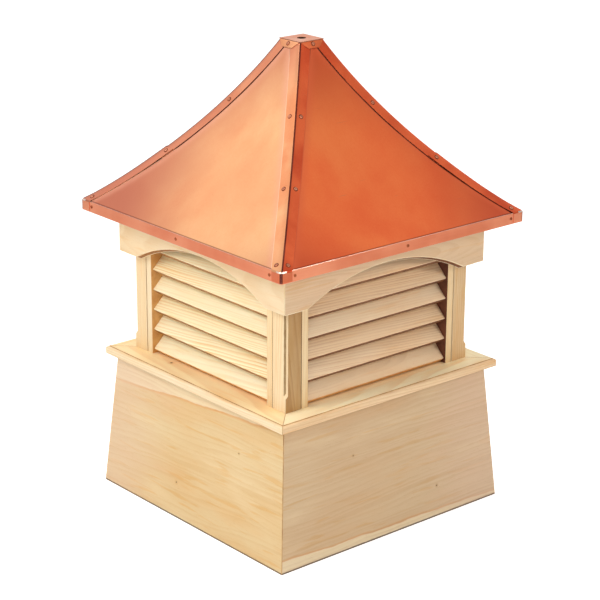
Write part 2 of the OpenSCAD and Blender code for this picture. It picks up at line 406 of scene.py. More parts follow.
def pine(name, lie, tones, shift, ring=0.006, pith=0.03, tilt=0.05, wave=0.010,
         figure=0.5, numbered=False, knots=(), slant=0.0, mottle=0.45, sapwood=None, foot=False):
    """Planed, unfinished pine. Tones are the pale wood, its late wood and its warmer patches.

    Sapwood is (level, slope, side): a paler strip beyond a level, below it (-1) or above it (1).
    A foot is the lowest edge of a board that stands on the roof, painted with a dark contact shadow.
    """
    material, tree, shader = new_material(name)
    place = on_object(tree)
    axes = split(tree, place)
    board = combined(tree, *(axes[i] for i in lie))
    board = mapped(tree, board, shift, (0, 0, slant))
    if numbered:
        number = tree.nodes.new("ShaderNodeAttribute")
        number.attribute_name = "board"
        step = vector_maths(tree, "SCALE", (0.37, 0.041, 0.023))
        put(tree, step.node.inputs["Scale"], number.outputs["Fac"])
        board = vector_maths(tree, "ADD", board, step)
    grain = placed(tree, PINE_GRAIN, Vector=board, Ring_width=ring, Pith=pith, Tilt=tilt, Wave=wave)
    pale, late, warm = tones
    colour = mixed(tree, maths(tree, "MULTIPLY", grain["Patches"], 0.45), pale, warm)
    blush = clouds(tree, mapped(tree, board, (1.7, 0.4, 0.9), scale=(4.0, 16.0, 16.0)), 1.0, 3.0, 0.55)
    colour = mixed(tree, eased(tree, blush, 0.45, 0.72, 0.0, mottle), colour, (1.0, 0.88, 0.76, 1), "MULTIPLY")
    colour = mixed(tree, eased(tree, blush, 0.5, 0.30, 0.0, 0.45 * mottle), colour, (0.93, 0.77, 0.50, 1))
    lens = clouds(tree, vector_maths(tree, "MULTIPLY", board, (8.0, 85.0, 85.0)), 1.0, 2.0, 0.5, 0.4)
    colour = mixed(tree, eased(tree, lens, 0.57, 0.70, 0.0, 1.4 * mottle), colour, (0.97, 0.84, 0.66, 1), "MULTIPLY")
    rings = maths(tree, "MULTIPLY", grain["Rings"], figure)
    if numbered:
        lot = maths(tree, "FRACT", maths(tree, "MULTIPLY_ADD", number.outputs["Fac"], 0.382, 0.1))
        colour = mixed(tree, eased(tree, lot, 0.2, 1.0, 0.0, 0.45), colour, warm)
        bold = maths(tree, "FRACT", maths(tree, "MULTIPLY_ADD", number.outputs["Fac"], 0.618, 0.35))
        rings = maths(tree, "MULTIPLY", rings, eased(tree, bold, 0.25, 0.75, 0.35, 1.1))
    if sapwood:
        level, slope, side = sapwood
        height = maths(tree, "MULTIPLY_ADD", axes[lie[0]], slope, maths(tree, "SUBTRACT", axes[2], level))
        ragged = clouds(tree, vector_maths(tree, "MULTIPLY", board, (9.0, 20.0, 20.0)), 1.0, 3.0, 0.55)
        height = maths(tree, "MULTIPLY", maths(tree, "MULTIPLY_ADD", ragged, 0.016, height), side)
        colour = mixed(tree, eased(tree, height, 0.006, 0.0095, 0.0, 0.75), colour, (0.90, 0.76, 0.52, 1))
        border = maths(tree, "MULTIPLY", eased(tree, height, 0.001, 0.0065), eased(tree, height, 0.0065, 0.0095, 1.0, 0.0))
        colour = mixed(tree, maths(tree, "MULTIPLY", border, 0.8), colour, (0.98, 0.72, 0.56, 1), "MULTIPLY")
    if foot:
        blushing = maths(tree, "MULTIPLY_ADD", blush, 0.25, axes[lie[0]])
        colour = mixed(tree, eased(tree, blushing, 0.18, 0.42, 0.0, 0.5), colour, (0.80, 0.58, 0.43, 1))
        # Painted shadow: a ragged dark line along the lowest few millimetres, for the contact shadow under the board.
        painted_shadow = clouds(tree, place, 60.0, 2.0)
        low = maths(tree, "MULTIPLY_ADD", painted_shadow, 0.0012, axes[2])
        colour = mixed(tree, eased(tree, low, 0.0042, 0.0056, 0.92, 0.0), colour, (0.13, 0.085, 0.055, 1))
    colour = mixed(tree, rings, colour, late)
    colour = mixed(tree, maths(tree, "MULTIPLY", grain["Streaks"], 0.08 + 0.3 * figure if not foot else 0.06), colour, warm)
    pores = clouds(tree, vector_maths(tree, "MULTIPLY", board, (140.0, 520.0, 520.0)), 1.0, 2.0, 0.7)
    colour = mixed(tree, eased(tree, pores, 0.62, 0.74, 0.0, 0.30), colour, (0.72, 0.52, 0.36, 1), "MULTIPLY")
    colour = mixed(tree, eased(tree, grain["Fibre"], 0.55, 0.8, 0.0, 0.35), colour, warm, "MULTIPLY")
    height = maths(tree, "MULTIPLY_ADD", grain["Rings"], 0.35, grain["Fibre"])
    for heart, size in knots:
        knot = placed(tree, PIN_KNOT, Vector=place, Size=size)
        knot[0].node.inputs["Heart"].default_value = heart
        colour = mixed(tree, maths(tree, "MULTIPLY", knot["Halo"], 0.55), colour, late)
        colour = mixed(tree, knot["Heart"], colour, (0.10, 0.035, 0.015, 1))
    put(tree, shader.inputs["Base Color"], colour)
    put(tree, shader.inputs["Roughness"], eased(tree, grain["Fibre"], 0.2, 0.8, 0.50, 0.66))
    shader.inputs["Specular IOR Level"].default_value = 0.32
    bumped(tree, shader, height, 0.00018, 0.6)
    return material


def arris(name, tone, streak):
    """A finish for the eased edge or a small face of a board, in two rubbed tones that paint the light or shade falling
    there.
    """
    material, tree, shader = new_material(name)
    rub = clouds(tree, on_object(tree), 45.0, 3.0, 0.6)
    put(tree, shader.inputs["Base Color"], mixed(tree, eased(tree, rub, 0.3, 0.7), tone, streak))
    put(tree, shader.inputs["Roughness"], eased(tree, rub, 0.2, 0.8, 0.5, 0.65))
    shader.inputs["Specular IOR Level"].default_value = 0.32
    bumped(tree, shader, rub, 0.00015, 0.4)
    return material


def copper(name, pale, deep, cloud_scale=5.0, shift=(0, 0, 0), gloss=0.30, dull=0.42,
           patch=None, far_tone=None, reach=(0.10, 0.42), rolling=(260.0, 260.0, 5.0), lapped=None):
    """Bright new sheet copper with a satin, slightly cloudy face. Away from its brightest patch it turns to a second,
    duller tone.

    Lapped sheets are given two tones: of the heated band beside a hip cap, and of the line along the cap's edge, which
    elsewhere is a dark painted shadow line. A dark painted shade line also runs along the eave.
    """
    material, tree, shader = new_material(name)
    place = mapped(tree, on_object(tree), shift)
    face = placed(tree, COPPER_SURFACE, Vector=place, Cloud_scale=cloud_scale, Rolling=rolling)
    colour = mixed(tree, face["Clouds"], pale, deep)
    colour = mixed(tree, maths(tree, "MULTIPLY", face["Streaks"], 0.22), colour, deep, "MULTIPLY")
    colour = mixed(tree, maths(tree, "MULTIPLY", face["Bands"], 0.06), colour, deep, "MULTIPLY")
    colour = mixed(tree, maths(tree, "MULTIPLY", face["Scratches"], 0.5), colour, (0.55, 0.20, 0.10, 1))
    if patch:
        away = vector_maths(tree, "DISTANCE", on_object(tree), patch)
        drifting = maths(tree, "MULTIPLY_ADD", clouds(tree, place, 6.0, 2.0), 0.10, maths(tree, "SUBTRACT", away, 0.05))
        colour = mixed(tree, eased(tree, drifting, *reach), colour, far_tone)
    if lapped:
        heated, lap_line_tone = lapped
        x, y, z = split(tree, vector_maths(tree, "ABSOLUTE", on_object(tree)))
        from_hip = maths(tree, "ABSOLUTE", maths(tree, "SUBTRACT", x, y))
        uneven = clouds(tree, place, 25.0, 2.0)
        heat = eased(tree, maths(tree, "MULTIPLY_ADD", uneven, 0.012, from_hip), HIP_LEG, HIP_LEG + 0.034, 0.55, 0.0)
        colour = mixed(tree, heat, colour, heated)
        # Painted shadow: a dark line along the cap's edge, for the shade under it.
        painted_shadow = maths(tree, "MULTIPLY", eased(tree, from_hip, HIP_LEG + 0.0012, HIP_LEG + 0.0022, 1.0, 0.0),
                      eased(tree, uneven, 0.25, 0.55, 0.35, 0.95))
        # Painted shade: a dark line just above the eave, where the sheet meets the drip edge.
        eave_shade_line = maths(tree, "MULTIPLY", eased(tree, z, EAVE_Z + 0.0010, EAVE_Z + 0.0019, 1.0, 0.0), 0.6)
        # Towards the front left, and low at the back left, the line takes the second lap tone: a pale painted highlight
        # on the peach sheets, a softer dark line on the red ones.
        toward_front_left = vector_maths(tree, "DOT_PRODUCT", on_object(tree), (-1.0, -1.0, 0.0))
        toward_back_left = vector_maths(tree, "DOT_PRODUCT", on_object(tree), (-1.0, 1.0, 0.0))
        low_back_left = maths(tree, "MULTIPLY", eased(tree, toward_back_left, 0.04, 0.09),
                              eased(tree, z, LAP_Z - 0.004, LAP_Z + 0.002, 1.0, 0.0))
        lap_tone_side = maths(tree, "MAXIMUM", eased(tree, toward_front_left, 0.04, 0.09), low_back_left)
        line = mixed(tree, lap_tone_side, (0.16, 0.045, 0.03, 1), lap_line_tone)
        painted_shadow = maths(tree, "MULTIPLY", painted_shadow, eased(tree, lap_tone_side, 0.0, 1.0, 1.0, 0.6))
        colour = mixed(tree, painted_shadow, colour, line)
        colour = mixed(tree, eave_shade_line, colour, (0.16, 0.045, 0.03, 1))
    put(tree, shader.inputs["Base Color"], colour)
    shader.inputs["Metallic"].default_value = 1.0
    rough = maths(tree, "MULTIPLY_ADD", face["Streaks"], 0.08, eased(tree, face["Clouds"], 0.0, 1.0, gloss, dull))
    put(tree, shader.inputs["Roughness"], rough)
    height = maths(tree, "MULTIPLY_ADD", face["Scratches"], -0.5, maths(tree, "MULTIPLY", face["Streaks"], 0.3))
    bumped(tree, shader, height, 0.00012, 0.35)
    return material


# ---------------------------------------------------------------- woodwork

def eased_copy(node, name, ease, segments=2):
    """A board of the frame with its doubles merged and its arrises eased into a second finish."""
    piece = copy_of(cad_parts[node], name)
    dressed(piece, None, None)
    take_up(piece)
    bpy.ops.object.mode_set(mode="EDIT")
    bpy.ops.mesh.select_mode(type="VERT")
    bpy.ops.mesh.select_all(action="SELECT")
    bpy.ops.mesh.remove_doubles(threshold=0.00001)
    bpy.ops.mesh.dissolve_limited(angle_limit=math.radians(0.05))
    put_down()
    if ease:
        finish_with(piece, "BEVEL", width=ease, segments=segments, limit_method="ANGLE",
                    angle_limit=math.radians(28), miter_outer="MITER_ARC", material=1)
    smooth(piece)
    return piece


def set_finish(piece, index, chosen):
    """Gives the faces that the test chooses another of the piece's finishes."""
    for face in piece.data.polygons:
        if chosen(face):
            face.material_index = index


def number_boards(piece):
    """Gives each loose board its own number, for its own figure."""
    take_up(piece)
    name = piece.name
    bpy.ops.object.mode_set(mode="EDIT")
    bpy.ops.mesh.select_all(action="SELECT")
    bpy.ops.mesh.separate(type="LOOSE")
    put_down()
    boards = list(bpy.context.selected_objects)

    def middle(board):
        total = sum((corner.co for corner in board.data.vertices), Vector())
        total /= len(board.data.vertices)
        return (round(total.z, 4), round(total.x, 4), round(total.y, 4))

    for count, board in enumerate(sorted(boards, key=middle)):
        number = board.data.attributes.new("board", "FLOAT", "POINT")
        number.data.foreach_set("value", [float(count)] * len(board.data.vertices))
    return joined(boards, name)


def open_joint_behind(stiles):
    """Draws each stile's back off its post by the width of an open joint."""
    post_in = abs(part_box("post_front_left")[1].x)
    take_up(stiles)
    for axis in (0, 1):
        for hand in (-1, 1):
            pick(stiles, "VERT", lambda vert: hand * vert.co[axis] > post_in - 0.0012
                 and hand * vert.co[axis] < post_in + 0.0001 and abs(vert.co[1 - axis]) > post_in)
            shift = [0.0, 0.0, 0.0]
            shift[axis] = -hand * OPEN_JOINT
            bpy.ops.transform.translate(value=shift)
    put_down()


def make_woodwork():
    # Painted shade: the brown eased edges stand for the dark lines of shade along the boards' edges.
    brown_arris_painted_shade = arris("arris brown painted shade", (0.66, 0.41, 0.19, 1), (0.47, 0.25, 0.10, 1))
    # Painted highlight: the pale eased edges stand for the light caught on the boards' arrises.
    pale_arris_painted_highlight = arris("arris pale painted highlight", (0.98, 0.85, 0.62, 1), (0.92, 0.72, 0.44, 1))
    # Painted light and shade for the stiles' inner faces: the orange finish where lit, the dark one where shaded.
    stile_painted_light = arris("stile orange painted light", (0.74, 0.42, 0.15, 1), (0.62, 0.30, 0.09, 1))
    # Painted shade: the olive finish stands for the shade in the posts' rebates.
    rebate_painted_shade = arris("rebate olive painted shade", (0.46, 0.33, 0.17, 1), (0.34, 0.22, 0.10, 1))
    sunny_nose = arris("blade nose orange", (0.46, 0.21, 0.065, 1), (0.34, 0.14, 0.04, 1))
    shaded_nose = arris("blade nose brown", (0.25, 0.095, 0.035, 1), (0.16, 0.055, 0.02, 1))
    lowest_nose_painted_light = arris("lowest blade nose painted light", (0.90, 0.50, 0.20, 1), (0.78, 0.38, 0.12, 1))
    # Painted light: the blade arris is an orange line along each blade's nose, for light caught on its edge.
    blade_arris_painted_light = arris("blade arris painted light", (0.84, 0.47, 0.18, 1), (0.70, 0.33, 0.11, 1))
    # Painted shade: the near-black open joint finish stands for the shade in the gap behind each stile.
    joint_painted_shade = arris("open joint", (0.16, 0.075, 0.03, 1), (0.10, 0.04, 0.02, 1))
    stile_painted_shade = arris("stile dark painted shade", (0.17, 0.055, 0.028, 1), (0.11, 0.032, 0.018, 1))
    bore_painted_shade = arris("block bore painted shade", (0.030, 0.016, 0.010, 1), (0.018, 0.010, 0.006, 1))
    knot_on_sill = (((-0.274, 0.1315, 0.3435), 0.0042),)
    knot_on_blade = (((-0.188, -0.262, 0.484), 0.0040), ((0.096, -0.240, 0.560), 0.0025))
    knots_on_skirt = {
        "front": (((0.14, -0.3235, 0.075), 0.0022), ((-0.11, -0.3115, 0.215), 0.0018)),
        "left": (((-0.3225, 0.055, 0.085), 0.0024), ((-0.3110, -0.16, 0.225), 0.0018)),
        "right": (((0.3180, 0.10, 0.140), 0.0026),),
        "back": (((-0.12, 0.3150, 0.180), 0.0024),),
    }
    for k, side in enumerate(SIDES):
        flat_on = k in (0, 2)
        # Painted shade: the front and right sills, skirts, valances and blades take the darker copies of their tones.
        tones = SHADED_SIDE_PINE if k in (0, 1) else YELLOW_PINE
        level = LEVEL_FRONT if flat_on else LEVEL_SIDE
        flat = FLAT_FRONT if flat_on else FLAT_SIDE

        board = eased_copy("skirt_" + side, "skirt_board_" + side, 0.0014)
        dressed(board, pine("skirt pine " + side, level, SKIRT_TONES[k], (0.3 * k, 0.42, 0.31 * k), 0.0110,
                            0.05, 0.03, 0.045, 0.24, knots=knots_on_skirt[side], slant=0.012,
                            mottle=0.45 if k < 2 else 0.6,
                            sapwood=(0.036, 0.02, -1) if flat_on else (0.292, 0.09, 1), foot=True), brown_arris_painted_shade)
        set_finish(board, 0, lambda face: face.center.z < 0.002)
        fitted(board, "skirt_pine", "skirt_" + side)

        board = eased_copy("sill_" + side, "sill_board_" + side, 0.0008)
        dressed(board, pine("sill pine " + side, flat, tones, (0.5 + 0.7 * k, 0.21, 0.05), 0.0060,
                            0.045, 0.04, 0.016, 0.35), brown_arris_painted_shade,
                pine("sill top pine " + side, flat, LIT_PALE_SILL_TOP if k in (0, 1) else LIT_SILL_TOP_PINE, (0.5 + 0.7 * k, 0.21, 0.05), 0.0070,
                     0.045, 0.04, 0.016, 0.40, knots=knot_on_sill if side == "left" else ()))
        # Painted light: the sill's top faces take the paler sill top pine.
        set_finish(board, 2, lambda face: face.normal.z > 0.95 and face.center.z > SILL_TOP - 0.0005)
        fitted(board, "trim_pine", "sill_" + side)

        board = eased_copy("valance_" + side, "valance_board_" + side, 0.0020)
        dressed(board, pine("valance pine " + side, level, SHADED_SIDE_VALANCE if k in (0, 1) else CREAM_VALANCE, (1.1 * k + 0.06, -0.632, 0.26), 0.0080,
                            0.052 - 0.016 * k, 0.085, 0.022, 0.30), pale_arris_painted_highlight)
        fitted(board, "trim_pine", "valance_" + side)

        # The front and right liners take the dark brown pine, painted shade under the arch; the back and left ones take
        # the paler sill top pine, painted light.
        board = eased_copy("arch_liner_" + side, "arch_liner_board_" + side, 0.0008)
        dressed(board, pine("arch liner pine " + side, level, SHADED_BROWN_PINE if k in (0, 1) else LIT_SILL_TOP_PINE, (0.8 * k + 0.4, -0.5, 0.1), 0.0055,
                            0.04, 0.06, 0.012, 0.40), pale_arris_painted_highlight, shaded_nose if k in (0, 1) else sunny_nose)
        # Faces looking out take the nose tones: painted shade at the front and right, painted light at the back and
        # left.
        set_finish(board, 2, lambda face: Vector(face.normal).dot(Vector(face.center)) > 0
                   and abs(face.normal.z) < 0.1)
        fitted(board, "trim_pine", "arch_liner_" + side)

        blades = number_boards(eased_copy("louvres_" + side, "louvre_blades_" + side, 0.0015))
        dressed(blades, pine("blade pine " + side, level, SHADED_SIDE_BLADE if k in (0, 1) else CREAM_BLADE, (0.9 * k, -0.43, 0.25), 0.0062,
                             0.03, 0.075, 0.022, 0.90 if k > 1 else 0.55, numbered=True,
                             knots=knot_on_blade if side == "front" else ()), blade_arris_painted_light,
                shaded_nose if k in (0, 1) else sunny_nose, lowest_nose_painted_light)
        set_finish(blades, 2, lambda face: face.normal.z < -0.5 and Vector(face.center).xy.length > 0.2
                   and max(abs(face.center.x), abs(face.center.y)) > 0.250)
        # Painted light: the lowest blade's nose is a light orange, for light thrown up from the sill.
        set_finish(blades, 3, lambda face: face.material_index == 2 and face.center.z < SILL_TOP + 0.02)
        fitted(blades, "louvre_pine", "louvres_" + side)

        board = eased_copy("soffit_" + side, "soffit_board_" + side, 0.0008)
        dressed(board, pine("soffit pine " + side, flat, YELLOW_PINE, (0.9 * k, -0.3, 0.03), 0.0060,
                            0.035, 0.04, 0.012, 0.45), pale_arris_painted_highlight)
        fitted(board, "framing_pine", "soffit_" + side)

    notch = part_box("post_front_left")[0].x + REBATE
    # The front posts' front faces take the brown and tan pine: partly the wood's own darker tone, partly painted shade
    # on faces turned from the light.
    shaded_brown_post = pine("post pine brown painted shade", UPRIGHT, SHADED_BROWN_PINE, (0.35, 0.28, 0.24), 0.0085, 0.02, 0.09, 0.020, 0.55,
                      mottle=0.3)
    shaded_tan_post = pine("post pine tan painted shade", UPRIGHT, SHADED_TAN_POST, (0.25, 0.38, 0.24), 0.0060, 0.02, 0.05, 0.014, 0.45)
    for k, corner in enumerate(CORNERS):
        post = eased_copy("post_" + corner, "corner_post_" + corner, 0.0009)
        dressed(post, pine("post pine " + corner, UPRIGHT, YELLOW_PINE, (0.6 * k, 0.31, 0.24), 0.0055,
                           0.02, 0.03, 0.012, 0.50), pale_arris_painted_highlight, rebate_painted_shade, shaded_brown_post)
        if corner == "front_right":
            post.data.materials[3] = shaded_tan_post
        # Painted shade, with the wood's darker tone, on the front faces of the front posts.
        if corner in ("front_left", "front_right"):
            set_finish(post, 3, lambda face: face.normal.y < -0.9)
        # Painted shade: the rebate's face turned to the front takes the olive finish.
        set_finish(post, 2, lambda face: abs(face.normal.y) > 0.9 and abs(abs(face.center.y) - abs(notch)) < 0.0005
                   and abs(face.center.x) > abs(notch))
        fitted(post, "trim_pine", "post_" + corner)

    stiles = number_boards(eased_copy("louvre_stiles", "louvre_stiles_planed", 0.0008))
    open_joint_behind(stiles)
    dressed(stiles, pine("stile pine", UPRIGHT, YELLOW_PINE, (0.2, 0.1, 0.3), 0.0050,
                         0.02, 0.02, 0.008, 0.35, numbered=True), pale_arris_painted_highlight, stile_painted_shade, stile_painted_light, joint_painted_shade)
    opening = abs(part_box("louvres_front")[0].x)
    # Painted shade: the stiles' backs at the open joint take the near-black finish.
    set_finish(stiles, 4, lambda face: 0.2240 < min(abs(face.center.x), abs(face.center.y))
               and abs(face.normal.z) < 0.1 and face.area > 0.001)
    # Painted light and shade: the inner faces on one side of each opening take the dark finish, on the other the orange
    # one.
    for index, shaded in ((2, True), (3, False)):
        set_finish(stiles, index, lambda face: min(abs(face.center.x), abs(face.center.y)) < opening + 0.0005
                   and shaded == (face.center.y < face.center.x))
    fitted(stiles, "trim_pine", "louvre_stiles")

    rafters = number_boards(eased_copy("hip_rafters", "hip_rafters_sawn", 0.0008))
    dressed(rafters, pine("rafter pine", UPRIGHT, YELLOW_PINE, (0.1, 0.2, 0.1), 0.0055,
                          0.03, 0.05, 0.012, 0.50, numbered=True), brown_arris_painted_shade)
    fitted(rafters, "framing_pine", "hip_rafters")

    block = eased_copy("finial_block", "finial_block_bored", 0.0010)
    dressed(block, pine("block pine", UPRIGHT, YELLOW_PINE, (0.1, 0.02, 0.02), 0.0045,
                        0.01, 0.03, 0.006, 0.5), brown_arris_painted_shade, bore_painted_shade)
    # Painted shade: the bore's faces are near black, for the shade inside it.
    set_finish(block, 2, lambda face: Vector(face.center).xy.length < 0.0105)
    fitted(block, "framing_pine", "finial_block")


# ---------------------------------------------------------------- copper roof

def roof_out(z, depth=0.0):
    """Half width of the roof at a level, that deep below its outer face."""
    return ROOF_C_OUT - math.sqrt((ROOF_R + depth) ** 2 - (z - ROOF_C_Z) ** 2)


def face_outwards(piece):
    """Turns an open sheet over where its faces look down or in."""
    take_up(piece)
    bpy.ops.object.mode_set(mode="EDIT")
    bpy.ops.mesh.select_all(action="SELECT")
    bpy.ops.mesh.normals_make_consistent(inside=False)
    mesh = bmesh.from_edit_mesh(piece.data)
    lean = sum(face.normal.z * face.calc_area() for face in mesh.faces)
    if lean < 0:
        bpy.ops.mesh.flip_normals()
    put_down()


def roof_sheet():
    """The front sheet: an edge along the eave, drawn up the curve in even steps."""
    steps, spans = 30, 24
    head = CROWN_Z - SHEET
    out = roof_out(EAVE_Z, SHEET)
    bpy.ops.mesh.primitive_plane_add(size=2 * out, location=(0, 0, EAVE_Z))
    piece = newly_added("roof_sheet_front")
    place_applied(piece)
    pick(piece, "VERT", lambda vert: vert.co.y > 0)
    bpy.ops.mesh.delete(type="VERT")
    pick(piece, "EDGE", lambda edge: True)
    bpy.ops.mesh.subdivide(number_cuts=spans - 1)
    z = EAVE_Z
    for step in range(1, steps + 1):
        z_next = EAVE_Z + (head - EAVE_Z) * step / steps
        out_next = roof_out(z_next, SHEET)
        bpy.ops.mesh.extrude_region_move(
            TRANSFORM_OT_translate={"value": (0, out - out_next, z_next - z)})
        bpy.ops.transform.resize(value=(out_next / out, 1, 1), center_override=(0, -out_next, z_next))
        z, out = z_next, out_next
    put_down()
    face_outwards(piece)
    return piece


def oil_canned(piece, seed):
    """Lets the sheet dish in by about a millimetre between its fixings."""
    free = piece.vertex_groups.new(name="free")
    for vert in piece.data.vertices:
        out = max(abs(vert.co.x), abs(vert.co.y))
        inner = min(abs(vert.co.x), abs(vert.co.y))
        margin = min(out - inner, (vert.co.z - EAVE_Z) * 1.6, (CROWN_Z - vert.co.z) * 1.6)
        free.add([vert.index], max(0.0, min(1.0, margin / 0.07)), "REPLACE")
    dishing = bpy.data.textures.new("dishing %d" % seed, "CLOUDS")
    dishing.noise_scale = 0.16 + 0.01 * seed
    dishing.noise_depth = 1
    finish_with(piece, "DISPLACE", texture=dishing, texture_coords="LOCAL", vertex_group="free",
                strength=-0.0016, mid_level=0.0)
    # The rims take the second finish, a dark line of painted shade along the sheet's edges.
    finish_with(piece, "SOLIDIFY", thickness=SHEET, offset=-1.0, material_offset_rim=1)
    smooth(piece, 40)


def cap_length(name, path):
    """A length of the front left hip cap: an angle of sheet drawn along a path of (out, z)."""
    out, z = path[0]
    bpy.ops.mesh.primitive_plane_add(
        size=HIP_LEG, location=(-out + HIP_LEG / 2, -out + HIP_LEG / 2, z))
    piece = newly_added(name)
    place_applied(piece)
    pick(piece, "VERT", lambda vert: vert.co.x + vert.co.y > -2 * out + 1.5 * HIP_LEG)
    bpy.ops.mesh.delete(type="VERT")
    pick(piece, "EDGE", lambda edge: True)
    bpy.ops.mesh.subdivide(number_cuts=1)
    for out_next, z_next in path[1:]:
        bpy.ops.mesh.extrude_region_move(
            TRANSFORM_OT_translate={"value": (out - out_next, out - out_next, z_next - z)})
        out, z = out_next, z_next
    put_down()
    face_outwards(piece)
    return piece


def faces_shaded_side(face):
    """True on the front and right slopes, whose sheets take the redder copper, painted shade."""
    x, y = face.normal.x, face.normal.y
    return -y > abs(x) if abs(y) > abs(x) else x > 0


def by_side(piece):
    """Gives a hip cap's two legs the finish of the side that each lies on: painted shade on the front and right,
    painted light on the back and left.
    """
    set_finish(piece, 1, lambda face: face.material_index == 0 and faces_shaded_side(face))


def on_ridge(edge):
    return all(abs(vert.co.x - vert.co.y) < 0.0001 for vert in edge.verts)


def fold_ridge(piece):
    """Rounds the fold over the hip and gives its one side slot 2, a dark strip of painted reflection."""
    take_up(piece)
    pick(piece, "EDGE", on_ridge)
    bpy.ops.mesh.bevel(offset=0.0042, offset_type="OFFSET", segments=2, profile=0.5, affect="EDGES")
    mesh = bmesh.from_edit_mesh(piece.data)
    for face in mesh.faces:
        x, y = face.calc_center_median().xy
        if face.select and y < x:
            face.material_index = 2
    bmesh.update_edit_mesh(piece.data)
    put_down()


def hip_cap(finishes):
    """Two lengths of cap; the lower one laps the upper and ends in tabs over the drip edge."""
    foot_out = EAVE_OUT + SHEET

    def lift(z):
        foot = max(0.0, 1 - (z - EAVE_Z) / 0.016)
        lap = max(0.0, min(1.0, (z - (LAP_Z - 0.095)) / 0.090))
        return SHEET * max(foot, 1.25 * lap * lap * (3 - 2 * lap))

    start = EAVE_Z + 0.0015
    levels = [start + (LAP_Z - start) * i / 16 for i in range(17)]
    bend = [(foot_out - 0.0030 * (1 - math.cos(turn)), EAVE_Z - 0.0022 + 0.0030 * math.sin(turn))
            for turn in (0.0, 0.25, 0.5, 0.75)]
    path = [(foot_out, DRIP_Z + 2 * SHEET)] + bend + [(roof_out(z, -lift(z)), z) for z in levels]
    lower = cap_length("lower", path)
    fold_ridge(lower)
    dressed(lower, *finishes)
    # Painted highlight: the bends over the drip edge beside the hip take slot 3, the pale drip edge arris.
    set_finish(lower, 3, lambda face: EAVE_Z - 0.0025 < face.center.z < EAVE_Z + 0.0022
               and abs(face.center.x - face.center.y) < HIP_LEG / 2)
    set_finish(lower, 4, lambda face: face.center.z < EAVE_Z - 0.0025)
    # Painted shade: the tabs beside the ridge take slot 2, for the gap at the corner.
    set_finish(lower, 2, lambda face: face.center.z < EAVE_Z - 0.0015 and abs(face.center.x - face.center.y) < 0.0030)

    start, head = LAP_Z - 0.022, CROWN_Z - SHEET
    levels = [start + (head - start) * i / 26 for i in range(27)]
    upper = cap_length("upper", [(roof_out(z), z) for z in levels])
    fold_ridge(upper)
    dressed(upper, *finishes)
    # The rims take slot 2, a dark line of painted shade along the caps' edges.
    for length in (lower, upper):
        finish_with(length, "SOLIDIFY", thickness=SHEET * 0.96, offset=-1.0, use_even_offset=True,
                    material_offset_rim=2)
    cap = joined([lower, upper], "hip_cap_sheet_front_left")
    finish_with(cap, "BEVEL", width=0.00025, segments=1, limit_method="ANGLE", angle_limit=math.radians(60))
    smooth(cap, 25)
    return cap


def screw(finishes):
    """A low round head with a cross recess, standing on the origin."""
    bpy.ops.mesh.primitive_cylinder_add(vertices=24, radius=0.0040, depth=0.0021, location=(0, 0, 0.00085))
    piece = newly_added("screw")
    dressed(piece, *finishes)
    place_applied(piece)
    pick(piece, "FACE", lambda face: face.normal.z > 0.9)
    bpy.ops.transform.resize(value=(0.86, 0.86, 1), center_override=(0, 0, 0))
    bpy.ops.mesh.bevel(offset=0.0007, segments=3, affect="EDGES")
    pick(piece, "FACE", lambda face: face.normal.z > 0.99)
    bpy.ops.mesh.inset(thickness=0.0011)
    pick(piece, "FACE", lambda face: face.normal.z > 0.99 and len(face.verts) == 24)
    mesh = bmesh.from_edit_mesh(piece.data)
    crown = [face for face in mesh.faces if face.select][0]
    notches = [vert.index for vert in crown.verts
               if abs(math.degrees(math.atan2(vert.co.y, vert.co.x)) % 90 - 45) < 24]
    pick(piece, "VERT", lambda vert: vert.index in notches)
    bpy.ops.transform.resize(value=(0.42, 0.42, 1), center_override=(0, 0, 0))
    # Painted shade: the sunk recess takes the second finish, dark for the shade inside it.
    pick(piece, "FACE", lambda face: face.normal.z > 0.99 and len(face.verts) == 24)
    bpy.ops.mesh.extrude_region_move(TRANSFORM_OT_translate={"value": (0, 0, -0.0011)})
    bpy.ops.transform.resize(value=(0.7, 0.7, 1), center_override=(0, 0, 0))
    mesh = bmesh.from_edit_mesh(piece.data)
    for face in mesh.faces:
        if face.select:
            face.material_index = 1
    bmesh.update_edit_mesh(piece.data)
    put_down()
    # A thin ring under the head, all in the second finish: a painted shadow round the head.
    bpy.ops.mesh.primitive_cylinder_add(vertices=24, radius=0.0054, depth=0.0006, location=(0, 0, 0))
    ring = newly_added("painted shadow ring")
    place_applied(ring)
    pick(ring, "FACE", lambda face: face.normal.z > 0.9)
    bpy.ops.mesh.inset(thickness=0.0011)
    bpy.ops.transform.translate(value=(0, 0, 0.0002))
    put_down()
    dressed(ring, *finishes)
    set_finish(ring, 1, lambda face: True)
    piece = joined([ring, piece], "screw")
    smooth(piece, 35)
    return piece


def driven(pattern, name, seats):
    """Copies of the screw, each driven at its seat: (place, outward normal)."""
    heads = []
    for count, (place, normal) in enumerate(seats):
        head = copy_of(pattern, "%s_%d" % (name, count))
        turn = Vector(normal).to_track_quat("Z", "Y").to_euler()
        head.rotation_euler = (0, 0, random.uniform(0, math.pi))
        place_applied(head)
        head.rotation_euler = turn
        head.location = place
        place_applied(head)
        heads.append(head)
    return joined(heads, name)


def roof_normal(z):
    """Outward normal of the front sheet at a level, as (0, y, z)."""
    slope = Vector((ROOF_C_OUT - roof_out(z), ROOF_C_Z - z)).normalized()
    return Vector((0, -slope.x, slope.y))


def quarter_turn(vector, quarters):
    turn = quarters % 4
    x, y, z = vector
    for _ in range(turn):
        x, y = -y, x
    return Vector((x, y, z))


